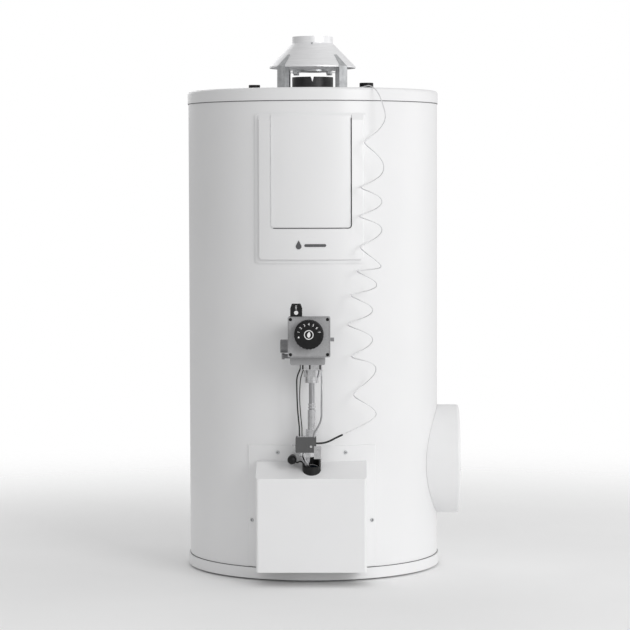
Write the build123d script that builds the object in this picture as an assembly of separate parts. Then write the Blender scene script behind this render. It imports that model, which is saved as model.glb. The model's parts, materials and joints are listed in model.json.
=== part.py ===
from build123d import *
from math import asin, cos, degrees, pi, radians, sin, sqrt, tan
import os

# Tank water heater, gas fired, floor standing. Millimetres, +Z up, the front faces -Y.
# The origin is on the casing's axis at floor level, where the feet stand.

# Casing, lid and base
casing_radius = 275.0
casing_sheet = 1.2
casing_height = 1035.0
base_clearance = 4.0          # underside of the base above the floor
base_sheet = 2.0
base_rim_height = 21.0
base_rim_wall = 3.0
base_air_radius = 70.0
lid_sheet = 1.5
lid_overlap = 20.0            # how far the lid's skirt comes down over the casing
lid_edge_radius = 7.0
seam_width = 14.0
seam_thickness = 0.8

# Feet
foot_circle_radius = 235.0
foot_angles = {"foot_front_left": 210, "foot_front_right": 330, "foot_rear": 90}
foot_pad_radius = 20.0
foot_stud_radius = 5.0
foot_stud_length = 34.0
foot_gap = 0.3                # pad below the base, and stud in its nut
foot_nut_size = 17.0          # across flats
foot_nut_height = 10.0

# Tank, flue and insulation
insulation_thickness = 52.0
tank_wall = 3.0
skirt_height = 144.0          # combustion chamber wall, base to tank
bottom_head_inset = 25.0      # the tank's bottom head above the end of its wall
tank_headroom = 80.0          # from the tank's shoulder up to the casing's top edge
head_rise = 40.0
flue_radius = 45.4
flue_wall = 2.0
flue_below_head = 8.0
flue_above_lid = 32.0
flue_notch_width = 7.0
flue_notch_depth = 12.0
flue_gap = 1.0                # lid around the flue
turbulator_sheet = 1.0
turbulator_length = 620.0
turbulator_below_lid = 6.0

# Water connections: radius, place on the lid, height above the lid, cap's outer radius
hot_radius = 13.2
hot_place = (119.0, 0.0)
hot_height = 17.5
cold_radius = 13.2
cold_place = (0.0, 119.0)
cold_height = 17.5
circulation_radius = 10.5
circulation_place = (-129.0, 0.0)
circulation_height = 13.5
nipple_wall = 3.0
nipple_in_tank = 30.0
nipple_gap = 1.0              # lid around a nipple
cap_gap = 0.3                 # cap around and above its nipple
cap_wall = 1.8
cap_skirt_clearance = 1.0     # cap's open end above the lid
dip_tube_wall = 2.5
dip_tube_end = 270.0
anode_radius = 13.0
anode_length = 480.0
anode_place = (-95.0, -95.0)
anode_head_size = 32.0
anode_head_height = 12.0

# Draught hood
hood_collar_radius = 45.0
hood_collar_height = 14.5
hood_rim_radius = 95.3
hood_lip_height = 3.0
hood_sheet = 1.0
hood_cone_height = 51.5
hood_gap_height = 52.0        # lid to the hood's lower edge
leg_width = 24.0
leg_flange = 12.0
leg_sheet = 1.0
leg_gap = 0.1                 # leg outside the hood's edge
leg_foot_length = 16.0
leg_tab_length = 34.0
leg_angles = (45, 135, 225, 315)
baffle_radius = 43.0
baffle_height = 44.0          # above the lid
baffle_lip = 4.0
baffle_arm_width = 12.0
baffle_nut_size = 11.0
baffle_nut_height = 6.0
baffle_nut_place = 52.0       # weld nuts under the arms, from the axis
rivet_radius = 2.6
rivet_height = 1.6
rivet_below_shoulder = 2.0    # rivet of the cone's seam, at the front
screw_head_radius = 4.0
screw_head_height = 2.4
screw_shank_radius = 2.0
screw_shank_length = 7.0

# Flue gas sensor on the rear right leg
sensor_radius = 7.0
sensor_length = 9.0
sensor_below_baffle = 1.0

# Raised front panel and its badge
panel_half_width = 118.0
panel_bottom = 677.0
panel_top = 994.0
panel_depth = 8.0
panel_bevel = 1.6
panel_corner = 8.0
panel_rim_width = 7.0         # thin rim around the raised part
panel_rim_thickness = 2.6
panel_run_out = 18.0          # height over which the top slopes down to the casing
panel_thinnest = 0.6
recess_half_width = 86.5
recess_bottom = 750.0
recess_depth = 4.4
recess_corner = 8.0
groove_width = 2.4            # groove along the recess's foot
groove_depth = 1.8
badge_height = 715.0
badge_drop_x = -26.0
badge_drop_radius = 6.0
badge_drop_rise = 11.0
badge_bar_x = 9.0
badge_bar_length = 46.0
badge_bar_height = 6.0
badge_thickness = 0.8

# Burner cover
cover_half_width = 116.5
cover_bottom = 29.0
cover_fold = 227.0
cover_slope_top = 257.0
cover_reach = 55.0            # front of the cover beyond the casing
cover_sheet = 1.0
cover_corner = 6.0
cover_flange_half_width = 136.0
cover_flange_top = 291.0
cover_flange_thickness = 2.2
cover_flange_bevel = 1.4
cover_screw_places = ((72.0, 276.0), (-72.0, 276.0), (128.0, 129.0), (-128.0, 129.0))
burner_opening_half_width = 95.0
burner_opening_bottom = 45.0
burner_opening_top = 250.0

# Inspection opening on the right
inspection_height = 233.0
inspection_radius = 120.0
inspection_reach = 48.0       # cover's face beyond the casing
inspection_sheet = 1.5
inspection_corner = 6.0
inspection_gap = 0.4          # cover over its collar and off the casing
collar_reach = 24.0
collar_sheet = 1.5
casing_port_radius = 95.0
neck_radius = 60.0
neck_wall = 4.0
flange_radius = 85.0
flange_thickness = 8.0
flange_from_axis = 246.0
gasket_thickness = 2.0
bolt_circle_radius = 71.0
bolt_count = 8
bolt_radius = 4.0
bolt_head_size = 13.0
bolt_head_height = 6.0

# Gas valve
valve_x = -3.0
valve_height = 528.0
valve_cover_width = 88.0
valve_cover_height = 84.0
valve_cover_depth = 28.0
valve_cover_wall = 3.0
valve_cover_corner = 3.0
valve_reach = 105.0           # front of the valve beyond the casing
valve_body_width = 73.0
valve_body_offset = -3.5      # body's middle from the valve's axis
valve_body_depth = 50.0
valve_body_low = 60.0         # body's underside below the valve's centre
valve_body_high = 34.0
valve_body_corner = 4.0
valve_screw_inset = 5.6
valve_screw_radius = 3.5
valve_screw_length = 8.0
valve_screw_sunk = 1.0        # head below the cover's face
valve_screw_slot = 1.2
stem_radius = 17.0
stem_gap = 3.0                # casing around the stem
rosette_radius = 32.0
rosette_thickness = 1.5
well_radius = 8.0
well_length = 150.0
knob_radius = 30.5
knob_height = 21.0
knob_rise = 6.0               # knob's axis above the valve's centre
knob_gap = 0.8                # knob in front of the valve cover
knob_shaft_radius = 4.0
knob_shaft_gap = 0.8
knob_shaft_in_body = 12.0
knob_shaft_end_gap = 3.0
knob_edge = 3.0
knob_flute_setback = 5.0      # plain band at the knob's foot
knob_flute_count = 24
knob_flute_radius = 2.0
dial_mark_thickness = 0.5
dial_ring = (9.5, 7.0)        # outer and inner radius
dial_tick_span = (19.0, 24.0)
dial_tick_half_width = 0.9
dial_tick_count = 8
dial_tick_step = 20.0         # degrees
button_offset = -26.6
button_half_width = 12.3
button_top_half_width = 9.0
button_setback = 9.0          # button's front behind the valve's front
button_depth = 16.0
button_height = 26.5
button_shoulder = 17.0
button_inside = 8.0
button_gap = 0.4
button_dot_radius = 4.3
button_dot_rise = 8.0         # above the valve cover
button_bar_rise = 15.5
button_bar_step = 3.0
button_bar_half_width = 1.6
button_bar_height = 1.2
button_bar_count = 3
inlet_radius = 14.0
inlet_bore = 9.3
inlet_length = 21.0
inlet_floor = 2.0             # end of the gas inlet's thread before the body
inlet_below_centre = 22.5
test_nipple_radius = 4.0
test_nipple_bore = 1.5
test_nipple_length = 18.5
test_nipple_below = 8.5       # below the valve's centre
plug_radius = 4.5
plug_length = 12.0
plug_nut_size = 11.0
plug_nut_height = 6.0
plug_below = 43.0
plug_forward = 10.0

# Gas pipe from the valve down to the block
pipe_x = 1.5
pipe_reach = 47.0             # pipe's axis beyond the casing
pipe_radius = 6.0
outlet_radius = 12.0
outlet_height = 12.0
upper_nut_size = 29.0
upper_nut_height = 15.0
collar_radius = 14.5
collar_height = 12.0
olive_radius = 7.8
olive_height = 4.0
olive_places = (375.0, 381.0)
sleeve_radius = 8.8
sleeve_bottom = 331.0
sleeve_top = 372.0
lower_nut_size = 22.0
safety_lead_radius = 1.5
pilot_tube_radius = 2.0

# Interrupter block, igniter and shroud below it
block_x = -11.0
block_width = 43.0
block_depth = 34.0
block_bottom = 283.0
block_top = 315.0
block_edge = 1.5
block_plate_thickness = 2.0
block_plate_half = 11.0
block_pin_radius = 2.2
block_pin_length = 7.0
block_pin_height = 298.0
block_screw_radius = 2.6
block_screw_height = 1.5
block_screw_place = 296.0
bracket_width = 15.0
bracket_sheet = 1.2
bracket_top = 297.0
supply_x = -8.0
outlet_nut_size = 25.0
outlet_nut_height = 10.0
shroud_x = 0.6
shroud_reach = 25.5
shroud_radius = 19.5
shroud_wall = 2.0
shroud_top = 272.0
shroud_cut_half_width = 15.5
shroud_cut_bottom = 250.0
igniter_x = -40.4
igniter_height = 266.0
igniter_radius = 7.0
igniter_reach = 30.0
igniter_bore = 4.5
igniter_floor = 4.0           # closed end of the igniter's bore in front of the casing
igniter_plunger_gap = 0.4
igniter_plunger_length = 12.0
igniter_stroke_gap = 7.0
igniter_button_radius = 9.5
igniter_button_length = 17.0

# Burner
burner_height = 80.0
mixer_radius = 20.0
mixer_wall = 2.0
mixer_front = 232.0
burner_head_radius = 100.0
burner_head_thickness = 22.0
burner_port_count = 24
burner_port_radius = 4.0
burner_port_circle = 70.0
burner_head_wall = 4.0
burner_head_edge = 8.0
burner_floor_opening = 40.0
burner_post_radius = 8.0
burner_post_place = 60.0
injector_reach = 12.0         # end of the supply pipe before the mixer's mouth

# Flue gas sensor's lead: plain ends, a stretched coil between them, and a black sleeve
lead_diameter = 2.2
lead_coil_diameter = 51.0
lead_sleeve_diameter = 4.2

# What follows from the sizes above
floor_of_casing = base_clearance + base_sheet
casing_inner = casing_radius - casing_sheet
casing_top = floor_of_casing + casing_height
lid_top = casing_top + lid_edge_radius
lid_underside = lid_top - lid_sheet
lid_radius = casing_radius + lid_sheet
tank_radius = casing_inner - insulation_thickness
tank_bottom = floor_of_casing + skirt_height
tank_shoulder = casing_top - tank_headroom
flue_top = lid_top + flue_above_lid
hood_bottom = lid_top + hood_gap_height
hood_shoulder = hood_bottom + hood_lip_height + hood_cone_height
hood_top = hood_shoulder + hood_collar_height
valve_front = -(casing_radius + valve_reach)
valve_cover_back = valve_front + valve_cover_depth
valve_body_back = valve_cover_back + valve_body_depth
valve_cover_top = valve_height + valve_cover_height / 2
valve_body_bottom = valve_height - valve_body_low
pipe_y = -(casing_radius + pipe_reach)
pipe_top = valve_body_bottom - outlet_height
cover_front = -(casing_radius + cover_reach)
plate_top = block_top + block_plate_thickness

UP = (0, 0, 1)
FRONT = (0, -1, 0)
RIGHT = (1, 0, 0)
LEFT = (-1, 0, 0)
FROM_BASE = (Align.CENTER, Align.CENTER, Align.MIN)
FROM_CORNER = (Align.MIN, Align.MIN, Align.MIN)
FAR = 400.0                   # longer than any cut needs to be


def rod(radius, length, start, direction=UP):
    return Plane(origin=start, z_dir=direction) * Cylinder(radius, length, align=FROM_BASE)


def pipe(outer, inner, length, start, direction=UP):
    return rod(outer, length, start, direction) - rod(inner, length, start, direction)


def nut(size, length, start, direction=UP):
    corner_radius = size / sqrt(3)
    return extrude(Plane(origin=start, z_dir=direction) * RegularPolygon(corner_radius, 6), length)


def brick(x, y, z):
    """A box from its low and high value along each axis."""
    return Pos(x[0], y[0], z[0]) * Box(x[1] - x[0], y[1] - y[0], z[1] - z[0], align=FROM_CORNER)


def spun(*points):
    """A ring whose section, radius and height, is the polygon given."""
    return revolve(Plane.XZ * make_face(Polyline(*points, close=True)), Axis.Z)


def bent_plate(outline, radius, thickness):
    """A plate lying on the casing's curve: the outline, drawn from the front, cut through a ring."""
    height = 2 * casing_height
    return pipe(radius + thickness, radius, height, (0, 0, 0)) & extrude(Plane.XZ * outline, FAR)


def swept_tube(points, radius):
    """A tube along straight runs joined by tangent arcs as large as their runs allow."""
    corners = [Vector(*point) for point in points]
    radii = []
    for before, corner, after in zip(corners, corners[1:], corners[2:]):
        turn = (corner - before).get_angle(after - corner)
        shorter = min((corner - before).length, (after - corner).length)
        radii.append(0.45 * shorter / tan(radians(turn) / 2))
    path = FilletPolyline(*points, radius=radii)
    section = Plane(origin=path @ 0, z_dir=path % 0) * Circle(radius)
    return sweep(section, path=path), radii, path.length


def on_circle(radius, angle, height=0.0):
    return (radius * cos(radians(angle)), radius * sin(radians(angle)), height)


def dished(rim_radius, rim_height):
    """Height of a dished head above a radius, as the three points of its arc."""
    middle = (flue_radius + rim_radius) / 2
    radii = (flue_radius, middle, rim_radius)
    return [(r, rim_height + head_rise * (1 - (r / rim_radius) ** 2)) for r in radii]


def head_plate(rim_radius, rim_height):
    inner, middle, outer = dished(rim_radius, rim_height)
    lower = [(r, z - tank_wall) for r, z in (inner, middle, outer)]
    outline = ThreePointArc(inner, middle, outer) + Line(outer, lower[2])
    outline += ThreePointArc(lower[2], lower[1], lower[0]) + Line(lower[0], inner)
    return revolve(Plane.XZ * make_face(outline), Axis.Z)


def tank_outside():
    """The tank as one solid, which the insulation is foamed around."""
    inner, middle, outer = dished(tank_radius, tank_shoulder)
    outline = ThreePointArc(inner, middle, outer)
    outline += Polyline(outer, (tank_radius, floor_of_casing), (flue_radius, floor_of_casing), inner)
    return revolve(Plane.XZ * make_face(outline), Axis.Z)


# ---------------------------------------------------------------- casing, lid, base and feet

def outer_casing():
    shell = pipe(casing_radius, casing_inner, casing_height, (0, 0, floor_of_casing))
    seam_height = casing_top - lid_overlap - floor_of_casing - base_rim_height
    seam = pipe(casing_radius + seam_thickness, casing_radius, seam_height,
                (0, 0, floor_of_casing + base_rim_height))
    seam &= brick((-seam_width / 2, seam_width / 2), (0, FAR), (0, casing_top))
    shell += seam
    shell -= brick((-burner_opening_half_width, burner_opening_half_width), (-FAR, 0),
                   (burner_opening_bottom, burner_opening_top))
    shell -= rod(stem_radius + stem_gap, FAR, (valve_x, 0, valve_height), FRONT)
    shell -= rod(casing_port_radius, FAR, (0, 0, inspection_height), RIGHT)
    for screw in cover_screw_solids():
        shell -= screw
    return shell


def casing_lid():
    skirt = lid_overlap + lid_edge_radius
    lid = fillet(rod(lid_radius, skirt, (0, 0, lid_top - skirt)).edges().group_by(Axis.Z)[-1], lid_edge_radius)
    inside = rod(casing_radius, skirt - lid_sheet, (0, 0, lid_top - skirt))
    lid -= fillet(inside.edges().group_by(Axis.Z)[-1], lid_edge_radius - lid_sheet)
    lid -= rod(flue_radius + flue_gap, FAR, (0, 0, casing_top - FAR / 2))
    for radius, place in nipple_sizes():
        lid -= rod(radius + nipple_gap, FAR, (*place, casing_top - FAR / 2))
    for screw in leg_screw_solids():
        lid -= screw
    return lid


def base_pan():
    outer = casing_radius + base_rim_wall
    top = floor_of_casing + base_rim_height
    pan = spun((base_air_radius, base_clearance), (outer, base_clearance), (outer, top),
               (casing_radius, top), (casing_radius, floor_of_casing), (base_air_radius, floor_of_casing))
    for angle in foot_angles.values():
        x, y, _ = on_circle(foot_circle_radius, angle)
        pan += nut(foot_nut_size, foot_nut_height, (x, y, floor_of_casing))
        pan -= rod(foot_stud_radius + foot_gap, FAR, (x, y, 0))
    return pan


def levelling_foot(angle):
    x, y, _ = on_circle(foot_circle_radius, angle)
    pad = rod(foot_pad_radius, base_clearance - foot_gap, (x, y, 0))
    return pad + rod(foot_stud_radius, foot_stud_length, (x, y, 0))


# ---------------------------------------------------------------- tank, flue and insulation

def tank_shell():
    shell = pipe(tank_radius, tank_radius - tank_wall, tank_shoulder - tank_bottom, (0, 0, tank_bottom))
    shell += head_plate(tank_radius, tank_shoulder)
    shell += head_plate(tank_radius - tank_wall / 2, tank_bottom + bottom_head_inset)
    shell -= rod(well_radius, FAR, (valve_x, 0, valve_height), FRONT)
    shell -= rod(neck_radius - neck_wall, FAR, (0, 0, inspection_height), RIGHT)
    for radius, place in nipple_sizes():
        shell -= rod(radius, FAR, (*place, tank_shoulder - FAR / 2))
    return shell - rod(anode_radius, FAR, (*anode_place, tank_shoulder - FAR / 2))


def combustion_skirt():
    skirt = pipe(tank_radius, tank_radius - tank_wall, skirt_height, (0, 0, floor_of_casing))
    return skirt - brick((-burner_opening_half_width, burner_opening_half_width), (-FAR, 0),
                         (burner_opening_bottom, tank_bottom))


def flue_tube():
    bottom = tank_bottom + bottom_head_inset + head_rise - flue_below_head - tank_wall
    tube = pipe(flue_radius, flue_radius - flue_wall, flue_top - bottom, (0, 0, bottom))
    notch = Polyline((-flue_notch_width / 2, flue_top + 1), (flue_notch_width / 2, flue_top + 1),
                     (0, flue_top - flue_notch_depth), close=True)
    return tube - extrude(Plane.XZ * make_face(notch), FAR, both=True)


def turbulator():
    bore = flue_radius - flue_wall
    half_width = sqrt(bore ** 2 - turbulator_sheet ** 2 / 4)
    top = lid_top - turbulator_below_lid
    strip = brick((-half_width, half_width), (-turbulator_sheet / 2, turbulator_sheet / 2),
                  (top - turbulator_length, top))
    pitch = 90.0
    for step in range(1, 6):
        blade = Pos(0, 0, top - step * pitch) * Rot(35 if step % 2 else -35, 0, 0)
        strip += blade * Box(bore, bore, turbulator_sheet)
    return strip


def insulation():
    foam = rod(casing_inner, lid_underside - tank_bottom, (0, 0, tank_bottom))
    foam -= rod(casing_inner, FAR, (0, 0, casing_top)) - rod(casing_inner - lid_edge_radius, FAR,
                                                             (0, 0, casing_top))
    foam -= tank_outside()
    foam -= rod(flue_radius, lid_top, (0, 0, 0))
    foam -= rod(stem_radius, FAR, (valve_x, 0, valve_height), FRONT)
    foam -= rod(casing_port_radius, FAR, (0, 0, inspection_height), RIGHT)
    foam -= brick((-burner_opening_half_width, burner_opening_half_width), (-FAR, 0),
                  (tank_bottom, burner_opening_top))
    for radius, place in nipple_sizes():
        foam -= rod(radius, FAR, (*place, casing_top - FAR / 2))
    foam -= anode_rod()
    for screw in cover_screw_solids() + leg_screw_solids():
        foam -= screw
    return foam


def nipple_sizes():
    return ((hot_radius, hot_place), (cold_radius, cold_place), (circulation_radius, circulation_place))


def nipple(radius, place, height, wall=nipple_wall):
    bottom = tank_shoulder - nipple_in_tank
    return pipe(radius, radius - wall, lid_top + height - bottom, (*place, bottom))


def cap(radius, place, height):
    bottom = lid_top + cap_skirt_clearance
    top = lid_top + height + cap_gap + cap_wall
    body = rod(radius + cap_gap + cap_wall, top - bottom, (*place, bottom))
    body = fillet(body.edges().group_by(Axis.Z)[-1], cap_wall / 2)
    return body - rod(radius + cap_gap, top - bottom - cap_wall, (*place, bottom))


def dip_tube():
    outer = cold_radius - nipple_wall
    top = tank_shoulder
    return pipe(outer, outer - dip_tube_wall, top - dip_tube_end, (*cold_place, dip_tube_end))


def anode_rod():
    distance = sqrt(anode_place[0] ** 2 + anode_place[1] ** 2)
    seat = tank_shoulder + head_rise * (1 - ((distance - anode_head_size / sqrt(3)) / tank_radius) ** 2)
    bar = rod(anode_radius, anode_length, (*anode_place, seat - anode_length))
    return bar + nut(anode_head_size, anode_head_height, (*anode_place, seat))


# ---------------------------------------------------------------- draught hood

def flue_hood():
    inner = hood_rim_radius - hood_sheet
    cone_foot = hood_bottom + hood_lip_height
    bore = hood_collar_radius - hood_sheet
    return spun((inner, hood_bottom), (hood_rim_radius, hood_bottom), (hood_rim_radius, cone_foot),
                (hood_collar_radius, hood_shoulder), (hood_collar_radius, hood_top), (bore, hood_top),
                (bore, hood_shoulder - hood_sheet / 2), (inner, cone_foot - hood_sheet / 2)) - hood_rivet()


def hood_rivet():
    """The rivet of the cone's seam, near the collar at the front."""
    slope = radians(hood_slope())
    along = rivet_below_shoulder / sin(slope)
    radius = hood_collar_radius + along * cos(slope)
    outwards = (0, -sin(slope), cos(slope))
    sunk = hood_sheet / 2
    foot = (0, -radius + sunk * sin(slope), hood_shoulder - rivet_below_shoulder - sunk * cos(slope))
    head = rod(rivet_radius, sunk + rivet_height, foot, outwards)
    return fillet(head.edges().sort_by(Axis(foot, outwards))[-1], rivet_height * 0.6)


def hood_slope():
    """Angle of the cone above the horizontal, in degrees."""
    return degrees(asin(hood_cone_height / sqrt(hood_cone_height ** 2
                                                + (hood_rim_radius - hood_collar_radius) ** 2)))


def hood_leg():
    """One folded leg on +X: web outside the hood's edge, two flanges, a foot and a tab on the cone."""
    inside = hood_rim_radius + leg_gap
    half = leg_width / 2
    knee = hood_bottom + hood_lip_height
    web = brick((inside, inside + leg_sheet), (-half, half), (lid_top, knee))
    flange_top = hood_bottom - leg_gap
    for side in (-1, 1):
        edge = sorted((side * half, side * (half - leg_sheet)))
        web += brick((inside - leg_flange, inside), edge, (lid_top + leg_sheet, flange_top))
    web += brick((inside, inside + leg_foot_length), (-half, half), (lid_top, lid_top + leg_sheet))
    outline = Polyline((-leg_sheet, -half * 0.8), (leg_tab_length, -half * 0.3),
                       (leg_tab_length, half * 0.3), (-leg_sheet, half * 0.8), close=True)
    tilt = radians(180 - hood_slope())
    lie = Plane(origin=(inside, 0, knee), x_dir=(cos(tilt), 0, sin(tilt)),
                z_dir=(sin(tilt), 0, -cos(tilt)))
    web += extrude(lie * make_face(outline), leg_sheet)
    return web - rod(screw_shank_radius, screw_shank_length, (leg_screw_radius(), 0, lid_top))


def hood_legs():
    return Compound(children=[Rot(0, 0, angle) * hood_leg() for angle in leg_angles])


def hood_baffle():
    bottom = lid_top + baffle_height
    dish = rod(baffle_radius, hood_sheet, (0, 0, bottom))
    dish += pipe(baffle_radius, baffle_radius - hood_sheet, baffle_lip, (0, 0, bottom))
    reach = hood_rim_radius + leg_gap
    for angle in leg_angles:
        arm = brick((baffle_radius - 2, reach), (-baffle_arm_width / 2, baffle_arm_width / 2),
                    (bottom, bottom + hood_sheet))
        dish += Rot(0, 0, angle) * arm
        place = on_circle(baffle_nut_place, angle, bottom - baffle_nut_height)
        dish += nut(baffle_nut_size, baffle_nut_height, place)
    return dish


def screw(start, direction):
    """A pan head screw: start is on the surface under the head, direction points outwards."""
    at = Vector(*start)
    out = Vector(*direction).normalized()
    head = rod(screw_head_radius, screw_head_height, start, direction)
    head = fillet(head.edges().sort_by(Axis(start, direction))[-1], screw_head_height * 0.6)
    return head + rod(screw_shank_radius, screw_shank_length, tuple(at - out * screw_shank_length), direction)


def leg_screw_radius():
    return hood_rim_radius + leg_gap + leg_foot_length - screw_head_radius - 1


def leg_screw_solids():
    return [screw(on_circle(leg_screw_radius(), angle, lid_top + leg_sheet), UP) for angle in leg_angles]


def cover_screw_solids():
    surface = casing_radius + cover_flange_thickness
    screws = []
    for x, z in cover_screw_places:
        y = -sqrt(surface ** 2 - x ** 2)
        screws.append(screw((x, y, z), (x, y, 0)))
    return screws


def sheet_screws():
    return Compound(children=cover_screw_solids() + leg_screw_solids() + [hood_rivet()])


def flue_sensor():
    reach = hood_rim_radius + leg_gap
    height = lid_top + baffle_height - sensor_below_baffle - sensor_radius
    return Rot(0, 0, leg_angles[0]) * rod(sensor_radius, sensor_length, (reach, 0, height), LEFT)


# ---------------------------------------------------------------- front panel and badge

def panel_outline(inset):
    height = panel_top - panel_bottom - inset
    low = panel_bottom + inset
    return Pos(0, low + height / 2) * RectangleRounded(2 * (panel_half_width - inset), height, panel_corner)


def recess_outline(inset):
    """The recess is open at the top, so its outline runs on past the panel."""
    low = recess_bottom + inset
    high = panel_top + 2 * recess_corner
    field = RectangleRounded(2 * (recess_half_width - inset), high - low, recess_corner - inset)
    return Pos(0, (low + high) / 2) * field


def front_panel():
    outer_radius = casing_radius + panel_depth
    recess_radius = outer_radius - recess_depth
    plate = bent_plate(panel_outline(panel_rim_width), casing_radius, panel_depth)
    plate = chamfer([e for e in plate.edges() if on_surface(e, outer_radius)], panel_bevel)
    plate += bent_plate(panel_outline(0), casing_radius, panel_rim_thickness)
    plate -= bent_plate(recess_outline(0), recess_radius, 2 * recess_depth)
    groove = recess_outline(0) - recess_outline(groove_width)
    plate -= bent_plate(groove, recess_radius - groove_depth, recess_depth)
    clear = outer_radius + panel_bevel
    return plate - spun((casing_radius + panel_thinnest, panel_top), (clear, panel_top - panel_run_out),
                        (clear, panel_top + 1), (casing_radius + panel_thinnest, panel_top + 1))


def on_surface(edge, radius):
    """Whether an edge lies on the cylinder of this radius around the heater's axis."""
    spots = [edge @ share for share in (0, 0.5, 1)]
    return all(abs(sqrt(spot.X ** 2 + spot.Y ** 2) - radius) < 0.01 for spot in spots)


def front_badge():
    """A plain drop beside a short bar."""
    drop = Pos(badge_drop_x, badge_height - 2) * Circle(badge_drop_radius)
    shoulder = badge_height + 0.5
    half = badge_drop_radius - 0.5
    drop += make_face(Polyline((badge_drop_x - half, shoulder), (badge_drop_x + half, shoulder),
                               (badge_drop_x, badge_height + badge_drop_rise), close=True))
    bar = Pos(badge_bar_x, badge_height) * SlotOverall(badge_bar_length, badge_bar_height)
    surface = casing_radius + panel_depth
    return Compound(children=[bent_plate(shape, surface, badge_thickness) for shape in (drop, bar)])


# ---------------------------------------------------------------- burner cover

def cover_profile(inset):
    """Side view of the cover: y and z, the sheet's outside or, with an inset, its inside."""
    slope = (cover_slope_top - cover_fold) / cover_reach
    drop = inset * sqrt(1 + slope ** 2)
    fold = cover_fold - drop + slope * inset
    top = cover_slope_top - inset
    knee = cover_front + inset + (top - fold) / slope
    return [(0, cover_bottom - inset), (cover_front + inset, cover_bottom - inset),
            (cover_front + inset, fold), (knee, top), (0, top)]


def cover_box(inset):
    half = cover_half_width - inset
    side = make_face(Polyline(*cover_profile(inset), close=True))
    box = extrude(Plane.YZ * side, half, both=True)
    upright = box.edges().filter_by(Axis.Z).group_by(Axis.Y)[0]
    return fillet(upright, cover_corner - inset)


def burner_cover():
    height = cover_flange_top - cover_bottom
    outline = Pos(0, cover_bottom + height / 2) * Rectangle(2 * cover_flange_half_width, height)
    cover = bent_plate(outline, casing_radius, cover_flange_thickness)
    rim = [e for e in cover.edges() if on_surface(e, casing_radius + cover_flange_thickness)]
    cover = chamfer(rim, cover_flange_bevel)
    outside = cover_box(0) - rod(casing_radius, casing_height, (0, 0, 0))
    cover = cover + outside - cover_box(cover_sheet)
    cover -= rod(shroud_radius - shroud_wall, cover_flange_top, (shroud_x, -(casing_radius + shroud_reach), 0))
    for fastener in cover_screw_solids():
        cover -= fastener
    return cover


def shroud():
    y = -(casing_radius + shroud_reach)
    bottom = cover_fold - 5
    cup = pipe(shroud_radius, shroud_radius - shroud_wall, shroud_top - bottom, (shroud_x, y, bottom))
    cup -= cover_box(0)
    cut = shroud_cut_half_width
    return cup - brick((shroud_x - cut, shroud_x + cut), (y - FAR, y), (shroud_cut_bottom, shroud_top + 1))


# ---------------------------------------------------------------- inspection opening

def inspection_neck():
    bore = neck_radius - neck_wall
    neck = pipe(neck_radius, bore, flange_from_axis, (0, 0, inspection_height), RIGHT)
    neck -= rod(tank_radius, casing_height, (0, 0, 0))
    neck += pipe(flange_radius, bore, flange_thickness, (flange_from_axis, 0, inspection_height), RIGHT)
    return neck - bolt_group(bolt_radius)


def bolt_group(radius):
    start = flange_from_axis - 4.0
    length = 2 * flange_thickness + gasket_thickness + 4.0
    shanks = [rod(radius, length, place, RIGHT) for place in bolt_places(start)]
    return Compound(children=shanks)


def bolt_places(x):
    step = 360 / bolt_count
    places = []
    for index in range(bolt_count):
        y, z, _ = on_circle(bolt_circle_radius, index * step + step / 2)
        places.append((x, y, inspection_height + z))
    return places


def inspection_gasket():
    ring = pipe(flange_radius, neck_radius - neck_wall, gasket_thickness,
                (flange_from_axis + flange_thickness, 0, inspection_height), RIGHT)
    return ring - bolt_group(bolt_radius)


def inspection_plate():
    start = flange_from_axis + flange_thickness + gasket_thickness
    return rod(flange_radius, flange_thickness, (start, 0, inspection_height), RIGHT) - bolt_group(bolt_radius)


def inspection_bolts():
    face = flange_from_axis + 2 * flange_thickness + gasket_thickness
    bolts = []
    for shank, place in zip(bolt_places(flange_from_axis - 4.0), bolt_places(face)):
        length = face - flange_from_axis + 4.0
        head = nut(bolt_head_size, bolt_head_height, place, RIGHT)
        bolts.append(head + rod(bolt_radius, length, shank, RIGHT))
    return Compound(children=bolts)


def inspection_collar():
    outer = inspection_radius - inspection_sheet - inspection_gap
    ring = pipe(outer, outer - collar_sheet, casing_radius + collar_reach, (0, 0, inspection_height), RIGHT)
    return ring - rod(casing_radius, casing_height, (0, 0, 0))


def inspection_cover():
    face = casing_radius + inspection_reach
    can = rod(inspection_radius, face, (0, 0, inspection_height), RIGHT)
    can = fillet(can.edges().group_by(Axis.X)[-1], inspection_corner)
    inside = rod(inspection_radius - inspection_sheet, face - inspection_sheet,
                 (0, 0, inspection_height), RIGHT)
    can -= fillet(inside.edges().group_by(Axis.X)[-1], inspection_corner - inspection_sheet)
    return can - rod(casing_radius + inspection_gap, casing_height, (0, 0, 0))


# ---------------------------------------------------------------- gas valve

def valve_body():
    body = brick(valve_body_sides(), (valve_cover_back, valve_body_back),
                 (valve_body_bottom, valve_height + valve_body_high))
    body = fillet(body.edges().filter_by(Axis.Y), valve_body_corner)
    depth = knob_shaft_in_body + knob_shaft_end_gap
    return body - rod(knob_shaft_radius + knob_shaft_gap, depth,
                      (valve_x, valve_cover_back + depth, valve_height + knob_rise), FRONT)


def valve_body_sides():
    middle = valve_x + valve_body_offset
    return middle - valve_body_width / 2, middle + valve_body_width / 2


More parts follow.
